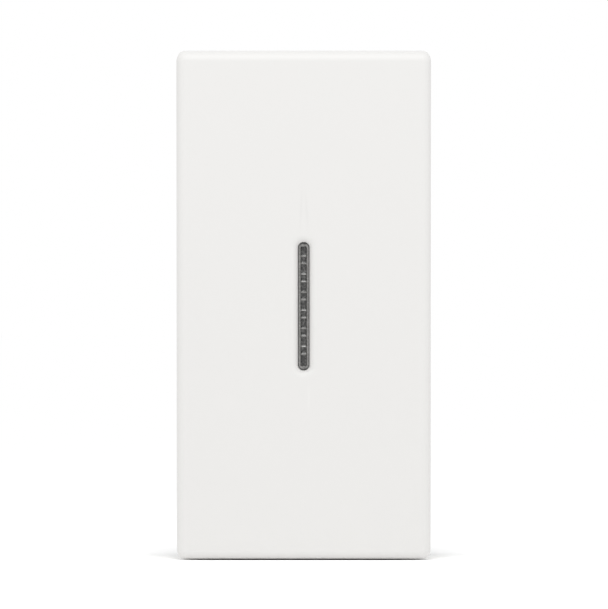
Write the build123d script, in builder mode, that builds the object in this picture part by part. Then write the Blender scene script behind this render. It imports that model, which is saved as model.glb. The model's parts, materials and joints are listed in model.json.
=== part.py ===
from build123d import *
import os
from dataclasses import dataclass
from math import cos, hypot, radians, sin

# A one-module rocker light switch with an indicator lens, in millimetres.
# X runs to the right seen from the front, Z runs up, and the front faces -Y.
# The origin is the middle of the flange's rear face, which seats on the wall frame.
# The rocker is drawn at rest with its lower end pressed.

# Rocker; the corner radius is that of its flat face, inside the soft edge
ROCKER_WIDTH = 22.4
ROCKER_HEIGHT = 44.7
ROCKER_CORNER_RADIUS = 0.05
ROCKER_EDGE_RADIUS = 0.7
ROCKER_FACE_WALL = 1.6
ROCKER_SKIRT_WALL = 1.3
ROCKER_SKIRT_DEPTH = 5.0
ROCKER_TILT = 4.0
ROCKER_RIB_WALL = 0.9
ROCKER_RIB_DEPTH = 0.8
ROCKER_RIB_LENGTH = 14.4
ROCKER_RIB_INNER_SPACING = 18.0
ROCKER_RIB_OUTER_SPACING = 30.0

# Rocker pivot
PIVOT_BEHIND_FACE = 4.8
PIVOT_PIN_RADIUS = 1.0
PIVOT_CLEARANCE = 0.05
PIVOT_PIN_END_GAP = 0.1
ROCKER_EAR_WALL = 0.6
CHEEK_EAR_WALL = 1.1

# Indicator lens, pushed into its slot from behind
LENS_SLOT_WIDTH = 0.98
LENS_SLOT_HEIGHT = 11.3
LENS_SLOT_LIP_RADIUS = 0.7
LENS_CLEARANCE = 0.04
LENS_RECESS = 0.5
LENS_FLANGE_MARGIN = 0.89
LENS_FLANGE_THICKNESS = 1.0
LENS_RIM_WALL = 0.8
LENS_RIB_PITCH = 1.6
LENS_RIB_WIDTH = 0.66
LENS_RIB_DEPTH = 0.4

# Frame: flange, collar with the pivot cheeks, tub behind the flange
FLANGE_THICKNESS = 2.0
FLANGE_INSET = 0.2
FLANGE_EDGE_RADIUS = 0.4
FLANGE_CLEARANCE = 0.4
SEAT_WIDTH = 2.0
PLATE_THICKNESS = 1.4
COLLAR_WALL = 1.3
COLLAR_SIDE_GAP = 0.3
COLLAR_END_GAP = 0.5
COLLAR_FRONT_GAP = 0.35
COLLAR_CORNER_RADIUS = 1.6
TUB_WALL = 1.4
TUB_DEPTH = 7.4
TUB_CORNER_RADIUS = 1.6

# Latches that hold the module in the wall frame
SUPPORT_THICKNESS = 2.0
LATCH_CLEARANCE = 0.3
LATCH_WIDTH = 8.0
LATCH_SLIT = 0.7
LATCH_ROOT = 0.8
LATCH_HOOK_HEIGHT = 1.2
LATCH_HOOK_FLAT = 0.7
LATCH_HOOK_RAMP = 2.6

# Arms and tabs that hold the base to the frame
ARM_THICKNESS = 1.1
ARM_INSET = 0.1
ARM_WIDTH = 6.0
ARM_SPACING = 22.0
ARM_END = 1.3
TAB_WIDTH = 3.4
TAB_LENGTH = 1.8
TAB_HEIGHT = 0.9
TAB_SETBACK = 1.9
TAB_LAND = 0.3
SNAP_CLEARANCE = 0.15

# Base housing
BASE_INSET = 0.1
BASE_SEAM = 0.1
BASE_WALL = 2.0
BASE_REAR_WALL = 2.4
BASE_CORNER_RADIUS = 1.5
BASE_EDGE_RADIUS = 0.8
BASE_PARTITION_WALL = 1.0
BASE_RAIL_THICKNESS = 1.0
BASE_RAIL_LENGTH = 9.0
BASE_RAIL_SPACING = 20.0
BASE_RAIL_REACH = 1.6
BARRIER_HEIGHT = 0.8
BARRIER_WALL = 0.8
BARRIER_MARGIN = 1.2

# Plunger and its spring, in a tube behind the rocker's face
PLUNGER_RADIUS = 1.5
PLUNGER_CLEARANCE = 0.08
PLUNGER_TIP_RADIUS = 1.2
PLUNGER_TIP_GAP = 0.08
PLUNGER_SHOULDER = 1.6
PLUNGER_TUBE_WALL = 0.65
PLUNGER_TUBE_LENGTH = 8.2
PLUNGER_TUBE_CAP = 0.6
PLUNGER_TUBE_LENS_GAP = 0.3
PLUNGER_OPENING_GAP = 0.4
PLUNGER_SPRING_LENGTH = 4.1
PLUNGER_SPRING_RADIUS = 1.15
PLUNGER_SPRING_WIRE_RADIUS = 0.17
PLUNGER_SPRING_COILS = 5
PLUNGER_SPRING_END_GAP = 0.05

# Contact see-saw
CONTACT_PIVOT_LEAD = 2.5
CONTACT_TILT = 6.0
CONTACT_REACH = 9.2
CONTACT_CLOSED_GAP = 0.08
BLADE_THICKNESS = 0.6
BLADE_END = 1.8
LUG_RADIUS = 0.5
LUG_ROOT = 0.4
LUG_CLEARANCE = 0.05
LUG_OVERHANG = 0.2
EAR_GAP = 0.3
EAR_THICKNESS = 0.8
EAR_HEIGHT = 3.0
EAR_TIP = 0.7
EAR_WALL_GAP = 0.3
MOVING_TIP_RADIUS = 1.5
MOVING_TIP_HEIGHT = 0.8
MOVING_TIP_RIM = 0.5
FIXED_TIP_RADIUS = 1.6
FIXED_TIP_HEIGHT = 0.7
FIXED_TIP_CHAMFER = 0.15
RIVET_SHANK_RADIUS = 0.8
RIVET_HEAD_RADIUS = 1.1
RIVET_HEAD_HEIGHT = 0.35
RIVET_CLEARANCE = 0.03

# Busbars and push-in terminals
BUSBAR_THICKNESS = 0.8
BUSBAR_BEND_RADIUS = 0.9
BUSBAR_SIDE_GAP = 0.2
BUSBAR_LEDGE = 0.7
BUSBAR_MARGIN = 0.3
BUSBAR_WALL_GAP = 0.1
BUSBAR_LEG_SETBACK = 0.8
COMMON_REST = 0.4
CELL_HEIGHT = 8.5
CELL_DEPTH = 9.6
WIRE_HOLE_RADIUS = 1.6
WIRE_HOLE_SPACING = 9.4
WIRE_HOLE_FUNNEL = 0.4
WIRE_LEG_GAP = 0.1
FUNNEL_ANGLE = 90
CLIP_THICKNESS = 0.35
CLIP_WALL_GAP = 0.1
CLIP_SIDE_GAP = 0.4
CLIP_REAR_GAP = 0.3
CLIP_FRONT_GAP = 1.0
CLIP_BEND = 1.3
CLIP_BEND_RADIUS = 0.5
CLIP_TONGUE_DEPTH = 6.0
CLIP_TIP_GAP = 0.45
CLIP_SLIT = 0.8

# Release buttons
BUTTON_WIDTH = 4.0
BUTTON_HEIGHT = 3.2
BUTTON_FLOOR = 1.9
BUTTON_PROUD = 0.8
BUTTON_CLEARANCE = 0.08
BUTTON_NOSE_GAP = 0.15
BUTTON_SHOULDER_WIDTH = 5.4
BUTTON_SHOULDER_HEIGHT = 2.1
BUTTON_SHOULDER_THICKNESS = 0.7
BUTTON_SHOULDER_GAP = 0.1
BUTTON_EDGE_RADIUS = 0.35
BUTTON_NOTCH_LENGTH = 2.4
BUTTON_NOTCH_WIDTH = 0.8
BUTTON_NOTCH_DEPTH = 0.5

# Indicator lamp
BOARD_STANDOFF = 0.6
BOARD_THICKNESS = 1.0
BOARD_SIDE_GAP = 0.5
BOARD_END_MARGIN = 1.3
BOARD_REST_WIDTH = 1.0
BOARD_REST_SETBACK = 2.6
BOARD_CLIP_WIDTH = 4.0
BOARD_CLIP_THICKNESS = 1.0
BOARD_CLIP_OVERLAP = 0.5
BOARD_CLIP_GAP = 0.1
LED_WIDTH = 1.6
LED_HEIGHT = 3.0
LED_BODY = 0.8
LED_LENS_RADIUS = 0.6
LED_LENS_HEIGHT = 0.5
SOLDER_GAP = 0.03
RESISTOR_LENGTH = 5.0
RESISTOR_RADIUS = 0.95
DIODE_LENGTH = 3.6
DIODE_RADIUS = 0.75
END_CAP_LENGTH = 0.7
END_CAP_STEP = 0.1
COMPONENT_SPACING = 7.6
COMPONENT_SETBACK = 3.2
LAMP_PIN_WIDTH = 1.0
LAMP_PIN_THICKNESS = 0.5
LAMP_PIN_PROUD = 0.5
LAMP_PIN_SETBACK = 2.4
LAMP_PIN_EDGE = 1.2
LAMP_PIN_FOOT = 1.6
LAMP_PIN_FOOT_GAP = 0.1
LAMP_PIN_BEND_RADIUS = 0.4
LAMP_PIN_CLEARANCE = 0.1
LAMP_PIN_SLOT_GAP = 0.3

# Levels on the rocker, counted forwards from its pivot, and its outlines
tilt_sin = sin(radians(ROCKER_TILT))
tilt_cos = cos(radians(ROCKER_TILT))
face_level = PIVOT_BEHIND_FACE
face_wall_level = face_level - ROCKER_FACE_WALL
skirt_level = face_level - ROCKER_SKIRT_DEPTH
tube_rear_level = face_wall_level - PLUNGER_TUBE_LENGTH
tube_bore_level = face_wall_level - PLUNGER_TUBE_CAP
plunger_head_level = tube_bore_level - PLUNGER_SPRING_LENGTH
rocker_outline_radius = ROCKER_CORNER_RADIUS + ROCKER_EDGE_RADIUS
rocker_inner_width = ROCKER_WIDTH - 2 * ROCKER_SKIRT_WALL
rocker_inner_height = ROCKER_HEIGHT - 2 * ROCKER_SKIRT_WALL

# The pressed end of the skirt clears the flange, and its face clears the collar
pivot_forward = (
    FLANGE_THICKNESS + FLANGE_CLEARANCE + ROCKER_HEIGHT / 2 * tilt_sin - skirt_level * tilt_cos
)
collar_width = rocker_inner_width - 2 * COLLAR_SIDE_GAP
collar_height = rocker_inner_height - 2 * COLLAR_END_GAP
collar_inner_width = collar_width - 2 * COLLAR_WALL
collar_inner_height = collar_height - 2 * COLLAR_WALL
collar_front = (
    pivot_forward + face_wall_level * tilt_cos - collar_height / 2 * tilt_sin - COLLAR_FRONT_GAP
)
pivot_hole_radius = PIVOT_PIN_RADIUS + PIVOT_CLEARANCE
pivot_pin_length = COLLAR_SIDE_GAP + COLLAR_WALL - PIVOT_PIN_END_GAP

# Frame and base outlines; the flange's corners lie behind the rocker's, and leave room for its
# own soft edge
flange_width = ROCKER_WIDTH - 2 * FLANGE_INSET
flange_height = ROCKER_HEIGHT - 2 * FLANGE_INSET
flange_outline_radius = max(
    rocker_outline_radius - FLANGE_INSET, ROCKER_CORNER_RADIUS + FLANGE_EDGE_RADIUS
)
tub_width = flange_width - 2 * (ARM_THICKNESS + ARM_INSET)
tub_height = flange_height - 2 * SEAT_WIDTH
tub_inner_width = tub_width - 2 * TUB_WALL
tub_inner_height = tub_height - 2 * TUB_WALL
plate_rear = FLANGE_THICKNESS - PLATE_THICKNESS
base_width = tub_width - 2 * BASE_INSET
base_height = tub_height - 2 * BASE_INSET
base_front = TUB_DEPTH + BASE_SEAM
base_inner_width = base_width - 2 * BASE_WALL
base_inner_height = base_height - 2 * BASE_WALL
chamber_width = base_inner_width - 2 * BUSBAR_LEDGE
tab_front = base_front + TAB_SETBACK
tab_rear = tab_front + TAB_LENGTH
window_rear = tab_rear + SNAP_CLEARANCE
arm_end = window_rear + ARM_END

# Contact see-saw and plunger
contact_sin = sin(radians(CONTACT_TILT))
contact_cos = cos(radians(CONTACT_TILT))
contact_pivot_depth = base_front - CONTACT_PIVOT_LEAD
tube_radius = PLUNGER_RADIUS + PLUNGER_CLEARANCE + PLUNGER_TUBE_WALL
mechanism_x = LENS_SLOT_WIDTH / 2 + LENS_FLANGE_MARGIN + PLUNGER_TUBE_LENS_GAP + tube_radius
ear_outer = base_inner_width / 2 - EAR_WALL_GAP - mechanism_x
ear_inner = ear_outer - EAR_THICKNESS
blade_width = 2 * (ear_inner - EAR_GAP)
lug_span = ear_outer + LUG_OVERHANG
plunger_reach = pivot_forward + contact_pivot_depth - BLADE_THICKNESS / 2 - PLUNGER_TIP_GAP
moving_tip_depth = BLADE_THICKNESS / 2 + MOVING_TIP_HEIGHT
fixed_tip_height = CONTACT_REACH * contact_cos - moving_tip_depth * contact_sin
fixed_tip_front = (
    contact_pivot_depth
    + moving_tip_depth * contact_cos
    + CONTACT_REACH * contact_sin
    + CONTACT_CLOSED_GAP
)

# Depths of the busbars and the terminal cells, counted backwards from the seat
busbar_front = fixed_tip_front + FIXED_TIP_HEIGHT
busbar_middle = busbar_front + BUSBAR_THICKNESS / 2
busbar_rear = busbar_front + BUSBAR_THICKNESS
busbar_width = base_inner_width - 2 * BUSBAR_SIDE_GAP
busbar_leg_width = chamber_width - 2 * BUSBAR_SIDE_GAP
busbar_inner_edge = fixed_tip_height - FIXED_TIP_RADIUS - BUSBAR_MARGIN
cell_rear = busbar_rear + CELL_DEPTH
base_rear = cell_rear + BASE_REAR_WALL

# Places across a terminal cell, counted from the wall that its spring clip leans on
leg_offset = CELL_HEIGHT - BUSBAR_WALL_GAP - BUSBAR_THICKNESS / 2
leg_face_offset = leg_offset - BUSBAR_THICKNESS / 2
wire_offset = leg_face_offset - WIRE_LEG_GAP - WIRE_HOLE_RADIUS
clip_offset = CLIP_WALL_GAP + CLIP_THICKNESS / 2
clip_bend_depth = cell_rear - CLIP_REAR_GAP - CLIP_THICKNESS / 2
clip_bend_offset = clip_offset + CLIP_BEND
clip_tip_depth = cell_rear - CLIP_TONGUE_DEPTH
clip_tip_offset = leg_face_offset - CLIP_TIP_GAP

# Indicator lamp
board_rear = FLANGE_THICKNESS + BOARD_STANDOFF
board_front = board_rear + BOARD_THICKNESS
board_left = -(collar_inner_width / 2 - BOARD_SIDE_GAP)
board_right = mechanism_x - tube_radius - BOARD_SIDE_GAP
board_width = board_right - board_left
board_middle = (board_left + board_right) / 2
lamp_pin_x = board_left + LAMP_PIN_SETBACK
lamp_pin_height = busbar_inner_edge + LAMP_PIN_EDGE
board_height = 2 * (lamp_pin_height + BOARD_END_MARGIN)

# Planes: the rocker's pivot plane and the see-saw's, both tilted about X
rocker_plane = Plane(
    origin=(0, -pivot_forward, 0), x_dir=(1, 0, 0), z_dir=(0, -tilt_cos, -tilt_sin)
)
rocker_axis = Axis(rocker_plane.origin, rocker_plane.z_dir)
blade_plane = Plane(
    origin=(mechanism_x, contact_pivot_depth, 0),
    x_dir=(1, 0, 0),
    z_dir=(0, -contact_cos, contact_sin),
)


def wall_plane(forward):
    """Plane parallel to the wall, this far in front of the seat, facing the user."""
    return Plane.XZ.offset(forward)


def rocker_level(level):
    """Plane parallel to the rocker's face, this far in front of the pivot."""
    return rocker_plane.offset(level)


def lengthwise_plane(carrier, across, up):
    """Plane along a tilted carrier's normal, through a point on it, seen from below."""
    return Plane(
        origin=carrier.from_local_coords((across, up, 0)),
        x_dir=carrier.x_dir,
        z_dir=-carrier.y_dir,
    )


@dataclass
class Cell:
    """One push-in terminal: its name, the height of its clip wall and which way is the leg."""

    name: str
    floor: float
    side: int

    def height(self, offset):
        """Height of a place in the cell, counted from the clip wall towards the busbar leg."""
        return self.floor + self.side * offset


outer_cell_floor = base_inner_height / 2 - CELL_HEIGHT
upper_cell = Cell("upper", outer_cell_floor, 1)
common_cell = Cell("common", -CELL_HEIGHT / 2, 1)
lower_cell = Cell("lower", -outer_cell_floor, -1)
cells = (upper_cell, common_cell, lower_cell)

os.makedirs("parts", exist_ok=True)

# Rocker: a hollow tablet with two pins, the plunger's tube and the lens slot
with BuildPart() as rocker:
    with BuildSketch(rocker_level(skirt_level)):
        RectangleRounded(ROCKER_WIDTH, ROCKER_HEIGHT, rocker_outline_radius)
    extrude(amount=ROCKER_SKIRT_DEPTH)
    # A soft edge around the face
    front_face = rocker.faces().sort_by(rocker_axis)[-1]
    fillet(front_face.edges(), radius=ROCKER_EDGE_RADIUS)
    with BuildSketch(rocker_level(skirt_level)):
        Rectangle(rocker_inner_width, rocker_inner_height)
    extrude(amount=face_wall_level - skirt_level, mode=Mode.SUBTRACT)
    # Stiffening ribs across the back of the face
    with BuildSketch(rocker_level(face_wall_level)):
        for spacing in (ROCKER_RIB_INNER_SPACING, ROCKER_RIB_OUTER_SPACING):
            with GridLocations(0, spacing, 1, 2):
                Rectangle(ROCKER_RIB_LENGTH, ROCKER_RIB_WALL)
    extrude(amount=-ROCKER_RIB_DEPTH)
    # Ears on the skirt and the pivot pins on their inner sides
    for side in (-1, 1):
        ear_plane = Plane(origin=(side * rocker_inner_width / 2, -pivot_forward, 0), z_dir=(side, 0, 0))
        with BuildSketch(ear_plane):
            Circle(PIVOT_PIN_RADIUS + ROCKER_EAR_WALL)
        extrude(amount=ROCKER_SKIRT_WALL)
        with BuildSketch(ear_plane):
            Circle(PIVOT_PIN_RADIUS)
        extrude(amount=-pivot_pin_length)
    # Rim that the lens's flange snaps into
    with BuildSketch(rocker_level(face_wall_level)):
        rim_width = LENS_SLOT_WIDTH + 2 * (LENS_FLANGE_MARGIN + LENS_RIM_WALL)
        rim_height = LENS_SLOT_HEIGHT + 2 * (LENS_FLANGE_MARGIN + LENS_RIM_WALL)
        SlotOverall(rim_height, rim_width, rotation=90)
        SlotOverall(
            LENS_SLOT_HEIGHT + 2 * LENS_FLANGE_MARGIN,
            LENS_SLOT_WIDTH + 2 * LENS_FLANGE_MARGIN,
            rotation=90,
            mode=Mode.SUBTRACT,
        )
    extrude(amount=-LENS_FLANGE_THICKNESS)
    # Plunger tube
    with BuildSketch(rocker_level(face_wall_level)):
        with Locations((mechanism_x, 0)):
            Circle(tube_radius)
    extrude(amount=-PLUNGER_TUBE_LENGTH)
    with BuildSketch(rocker_level(tube_rear_level)):
        with Locations((mechanism_x, 0)):
            Circle(PLUNGER_RADIUS + PLUNGER_CLEARANCE)
    extrude(amount=tube_bore_level - tube_rear_level, mode=Mode.SUBTRACT)
    # Lens slot with a softened lip
    with BuildSketch(rocker_level(face_level)):
        SlotOverall(LENS_SLOT_HEIGHT, LENS_SLOT_WIDTH, rotation=90)
    extrude(amount=-ROCKER_FACE_WALL, mode=Mode.SUBTRACT)
    front_face = rocker.faces().sort_by(rocker_axis)[-1]
    fillet(front_face.inner_wires()[0].edges(), radius=LENS_SLOT_LIP_RADIUS)
rocker.part.label = "rocker"
export_step(rocker.part, "parts/rocker.step")

# Indicator lens: a pill-shaped light pipe, a flange behind the face and ribs on its back
with BuildPart() as indicator_lens:
    with BuildSketch(rocker_level(face_wall_level)):
        SlotOverall(
            LENS_SLOT_HEIGHT - 2 * LENS_CLEARANCE,
            LENS_SLOT_WIDTH - 2 * LENS_CLEARANCE,
            rotation=90,
        )
    extrude(amount=ROCKER_FACE_WALL - LENS_RECESS)
    lens_flange_width = LENS_SLOT_WIDTH + 2 * (LENS_FLANGE_MARGIN - LENS_CLEARANCE)
    lens_flange_height = LENS_SLOT_HEIGHT + 2 * (LENS_FLANGE_MARGIN - LENS_CLEARANCE)
    with BuildSketch(rocker_level(face_wall_level)):
        SlotOverall(lens_flange_height, lens_flange_width, rotation=90)
    extrude(amount=-LENS_FLANGE_THICKNESS)
    lens_rib_count = int((LENS_SLOT_HEIGHT - LENS_SLOT_WIDTH) // LENS_RIB_PITCH)
    with BuildSketch(rocker_level(face_wall_level - LENS_FLANGE_THICKNESS)):
        with GridLocations(0, LENS_RIB_PITCH, 1, lens_rib_count):
            Rectangle(lens_flange_width, LENS_RIB_WIDTH)
    extrude(amount=-LENS_RIB_DEPTH)
indicator_lens.part.label = "indicator_lens"
export_step(indicator_lens.part, "parts/indicator_lens.step")

# Plunger: a round pin with a ball tip that pushes the see-saw over
with BuildPart() as plunger:
    plunger_plane = lengthwise_plane(rocker_plane, mechanism_x, 0)
    tip_centre_level = -(plunger_reach - PLUNGER_TIP_RADIUS)
    tip_cone_level = tip_centre_level + PLUNGER_SHOULDER
    with BuildSketch(plunger_plane):
        with BuildLine():
            Polyline(
                (0, -plunger_reach),
                (0, plunger_head_level),
                (PLUNGER_RADIUS, plunger_head_level),
                (PLUNGER_RADIUS, tip_cone_level),
                (PLUNGER_TIP_RADIUS, tip_centre_level),
            )
            RadiusArc(
                (PLUNGER_TIP_RADIUS, tip_centre_level), (0, -plunger_reach), PLUNGER_TIP_RADIUS
            )
        make_face()
    revolve(axis=Axis(plunger_plane.origin, plunger_plane.y_dir))
plunger.part.label = "plunger"
export_step(plunger.part, "parts/plunger.step")

# Plunger spring, between the bottom of the tube's bore and the plunger's head
with BuildPart() as plunger_spring:
    spring_end_inset = PLUNGER_SPRING_WIRE_RADIUS + PLUNGER_SPRING_END_GAP
    spring_height = PLUNGER_SPRING_LENGTH - 2 * spring_end_inset
    with BuildLine() as spring_path:
        Helix(
            pitch=spring_height / PLUNGER_SPRING_COILS,
            height=spring_height,
            radius=PLUNGER_SPRING_RADIUS,
            center=rocker_plane.from_local_coords(
                (mechanism_x, 0, plunger_head_level + spring_end_inset)
            ),
            direction=rocker_plane.z_dir,
        )
    with BuildSketch(Plane(origin=spring_path.line @ 0, z_dir=spring_path.line % 0)):
        Circle(PLUNGER_SPRING_WIRE_RADIUS)
    sweep()
plunger_spring.part.label = "plunger_spring"
export_step(plunger_spring.part, "parts/plunger_spring.step")

# Module frame: flange and plate, collar with pivot cheeks, tub, latches and snap arms
with BuildPart() as module_frame:
    with BuildSketch(wall_plane(0)):
        RectangleRounded(flange_width, flange_height, flange_outline_radius)
    extrude(amount=FLANGE_THICKNESS)
    fillet(module_frame.faces().sort_by(Axis.Y)[0].edges(), radius=FLANGE_EDGE_RADIUS)
    with BuildSketch(wall_plane(0)):
        RectangleRounded(tub_width, tub_height, TUB_CORNER_RADIUS)
    extrude(amount=-TUB_DEPTH)
    # Snap arms beside the tub, with windows for the base's tabs
    with BuildSketch(wall_plane(0)):
        with GridLocations(tub_width + ARM_THICKNESS, ARM_SPACING, 2, 2):
            Rectangle(ARM_THICKNESS, ARM_WIDTH)
    extrude(amount=-arm_end)
    window_front = tab_front - SNAP_CLEARANCE
    with BuildSketch(Plane.YZ):
        with Locations(((window_front + window_rear) / 2, 0)):
            with GridLocations(0, ARM_SPACING, 1, 2):
                Rectangle(window_rear - window_front, TAB_WIDTH + 2 * SNAP_CLEARANCE)
    extrude(amount=flange_width, both=True, mode=Mode.SUBTRACT)
    # Latch hooks at the top and bottom, catching behind the wall frame
    hook_front = SUPPORT_THICKNESS + LATCH_CLEARANCE
    hook_root = tub_height / 2 - TUB_WALL / 2
    hook_top = tub_height / 2 + LATCH_HOOK_HEIGHT
    hook_ramp_start = hook_front + LATCH_HOOK_FLAT
    with BuildSketch(Plane.YZ):
        with BuildLine():
            Polyline(
                (hook_front, hook_root),
                (hook_front, hook_top),
                (hook_ramp_start, hook_top),
                (hook_ramp_start + LATCH_HOOK_RAMP, tub_height / 2),
                (hook_ramp_start + LATCH_HOOK_RAMP, hook_root),
                close=True,
            )
        make_face()
        mirror(about=Plane.XZ)
    extrude(amount=LATCH_WIDTH / 2, both=True)
    # Hollow of the tub, and the slits that free the latch tongues
    with BuildSketch(wall_plane(plate_rear)):
        RectangleRounded(tub_inner_width, tub_inner_height, TUB_CORNER_RADIUS)
    extrude(amount=-(TUB_DEPTH + plate_rear), mode=Mode.SUBTRACT)
    with BuildSketch(wall_plane(-TUB_DEPTH)):
        with GridLocations(LATCH_WIDTH + LATCH_SLIT, tub_height - TUB_WALL, 2, 2):
            Rectangle(LATCH_SLIT, 2 * TUB_WALL)
    extrude(amount=TUB_DEPTH - LATCH_ROOT, mode=Mode.SUBTRACT)
    # Collar inside the rocker's skirt, with raised cheeks around the pivot holes
    with BuildSketch(wall_plane(FLANGE_THICKNESS)):
        RectangleRounded(collar_width, collar_height, COLLAR_CORNER_RADIUS)
        Rectangle(collar_inner_width, collar_inner_height, mode=Mode.SUBTRACT)
    extrude(amount=collar_front - FLANGE_THICKNESS)
    for side in (-1, 1):
        cheek_plane = Plane(origin=(side * collar_inner_width / 2, -pivot_forward, 0), z_dir=(side, 0, 0))
        with BuildSketch(cheek_plane):
            Circle(pivot_hole_radius + CHEEK_EAR_WALL)
        extrude(amount=COLLAR_WALL)
        with BuildSketch(cheek_plane):
            Circle(pivot_hole_radius)
        extrude(amount=COLLAR_WALL, mode=Mode.SUBTRACT)
    # Openings in the plate for the plunger's tube and the lamp pins
    tube_swing = -tube_rear_level * tilt_sin
    pin_slot_height = LAMP_PIN_FOOT + LAMP_PIN_THICKNESS + 2 * LAMP_PIN_SLOT_GAP
    with BuildSketch(wall_plane(FLANGE_THICKNESS)):
        with Locations((mechanism_x, 0)):
            Rectangle(
                2 * (tube_radius + PLUNGER_OPENING_GAP),
                2 * (tube_radius + tube_swing + PLUNGER_OPENING_GAP),
            )
        with Locations((lamp_pin_x, 0)):
            with GridLocations(0, 2 * lamp_pin_height + LAMP_PIN_FOOT, 1, 2):
                Rectangle(LAMP_PIN_WIDTH + 2 * LAMP_PIN_SLOT_GAP, pin_slot_height)
    extrude(amount=-PLATE_THICKNESS, mode=Mode.SUBTRACT)
    # Rests under the lamp board and clips over its ends
    with BuildSketch(wall_plane(FLANGE_THICKNESS)):
        with Locations((board_middle, 0)):
            with GridLocations(0, board_height - 2 * BOARD_REST_SETBACK, 1, 2):
                Rectangle(board_width, BOARD_REST_WIDTH)
    extrude(amount=BOARD_STANDOFF)
    clip_rear_edge = board_height / 2 + BOARD_CLIP_GAP
    clip_shelf = board_front + BOARD_CLIP_GAP
    clip_top = clip_shelf + BOARD_CLIP_THICKNESS
    with BuildSketch(Plane.YZ.offset(board_middle)):
        with BuildLine():
            Polyline(
                (-FLANGE_THICKNESS, clip_rear_edge),
                (-clip_shelf, clip_rear_edge),
                (-clip_shelf, board_height / 2 - BOARD_CLIP_OVERLAP),
                (-clip_top, clip_rear_edge),
                (-clip_top, clip_rear_edge + BOARD_CLIP_THICKNESS),
                (-FLANGE_THICKNESS, clip_rear_edge + BOARD_CLIP_THICKNESS),
                close=True,
            )
        make_face()
        mirror(about=Plane.XZ)
    extrude(amount=BOARD_CLIP_WIDTH / 2, both=True)
module_frame.part.label = "module_frame"
export_step(module_frame.part, "parts/module_frame.step")

# Base housing: three terminal cells behind the busbars, wire entries at the back
with BuildPart() as base_housing:
    with BuildSketch(wall_plane(-base_rear)):
        RectangleRounded(base_width, base_height, BASE_CORNER_RADIUS)
    extrude(amount=base_rear - base_front)
    fillet(base_housing.faces().sort_by(Axis.Y)[-1].edges(), radius=BASE_EDGE_RADIUS)
    with BuildSketch(wall_plane(-base_front)):
        Rectangle(base_inner_width, base_inner_height)
    extrude(amount=-(busbar_rear - base_front), mode=Mode.SUBTRACT)
    with BuildSketch(wall_plane(-busbar_rear)):
        Rectangle(chamber_width, base_inner_height)
    extrude(amount=-CELL_DEPTH, mode=Mode.SUBTRACT)
    # Partitions: the wall that each spring clip leans on, and the one behind the common leg
    wall_middle = -BASE_PARTITION_WALL / 2
    partition_heights = [cell.height(wall_middle) for cell in cells]
    partition_heights.append(common_cell.height(CELL_HEIGHT - wall_middle))
    with BuildSketch(wall_plane(-cell_rear)):
        with Locations(*[(0, height) for height in partition_heights]):
            Rectangle(chamber_width, BASE_PARTITION_WALL)
    extrude(amount=CELL_DEPTH)
    # Rails that reach into the tub
    rail_middle = tub_inner_width / 2 - BASE_INSET - BASE_RAIL_THICKNESS / 2
    with BuildSketch(wall_plane(-base_front)):
        with GridLocations(2 * rail_middle, BASE_RAIL_SPACING, 2, 2):
            Rectangle(BASE_RAIL_THICKNESS, BASE_RAIL_LENGTH)
    extrude(amount=BASE_RAIL_REACH)
    # Wedge tabs on the sides, for the frame's snap arms
    for height in (-ARM_SPACING / 2, ARM_SPACING / 2):
        with BuildSketch(Plane.XY.offset(height)):
            with BuildLine():
                Polyline(
                    (base_width / 2 - BASE_WALL / 2, tab_front),
                    (base_width / 2, tab_front),
                    (base_width / 2 + TAB_HEIGHT, tab_rear - TAB_LAND),
                    (base_width / 2 + TAB_HEIGHT, tab_rear),
                    (base_width / 2 - BASE_WALL / 2, tab_rear),
                    close=True,
                )
            make_face()
            mirror(about=Plane.YZ)
        extrude(amount=TAB_WIDTH / 2, both=True)
    # Barriers between the terminals on the rear face
    barrier_height = (common_cell.height(CELL_HEIGHT) + upper_cell.floor) / 2
    with BuildSketch(wall_plane(-base_rear)):
        with GridLocations(0, 2 * barrier_height, 1, 2):
            Rectangle(base_width - 2 * BARRIER_MARGIN, BARRIER_WALL)
    extrude(amount=-BARRIER_HEIGHT)
    # Two wire entries and one release button opening for each terminal
    rear_plane = Plane(origin=(0, base_rear, 0), x_dir=(-1, 0, 0), z_dir=(0, 1, 0))
    with Locations(rear_plane):
        for cell in cells:
            with Locations((0, cell.height(wire_offset))):
                with GridLocations(WIRE_HOLE_SPACING, 0, 2, 1):
                    CounterSinkHole(
                        WIRE_HOLE_RADIUS,
                        WIRE_HOLE_RADIUS + WIRE_HOLE_FUNNEL,
                        depth=BASE_REAR_WALL,
                        counter_sink_angle=FUNNEL_ANGLE,
                    )
    with BuildSketch(wall_plane(-base_rear)):
        for cell in cells:
            with Locations((0, cell.height(BUTTON_FLOOR + BUTTON_HEIGHT / 2))):
                Rectangle(BUTTON_WIDTH + 2 * BUTTON_CLEARANCE, BUTTON_HEIGHT + 2 * BUTTON_CLEARANCE)
    extrude(amount=BASE_REAR_WALL, mode=Mode.SUBTRACT)
base_housing.part.label = "base_housing"
export_step(base_housing.part, "parts/base_housing.step")

# Contact see-saw: a flat blade with two round lugs that rock in the common busbar's ears
with BuildPart() as contact_rocker:
    with BuildSketch(blade_plane.offset(-BLADE_THICKNESS / 2)):
        SlotOverall(2 * (CONTACT_REACH + BLADE_END), blade_width, rotation=90)
        with GridLocations(0, 2 * CONTACT_REACH, 1, 2):
            Circle(RIVET_SHANK_RADIUS + RIVET_CLEARANCE, mode=Mode.SUBTRACT)
    extrude(amount=BLADE_THICKNESS)
    for side in (-1, 1):
        lug_root = mechanism_x + side * (blade_width / 2 - LUG_ROOT)
        with BuildSketch(Plane(origin=(lug_root, contact_pivot_depth, 0), z_dir=(side, 0, 0))):
            Circle(LUG_RADIUS)
        extrude(amount=lug_span - blade_width / 2 + LUG_ROOT)
contact_rocker.part.label = "contact_rocker"
export_step(contact_rocker.part, "parts/contact_rocker.step")

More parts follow.
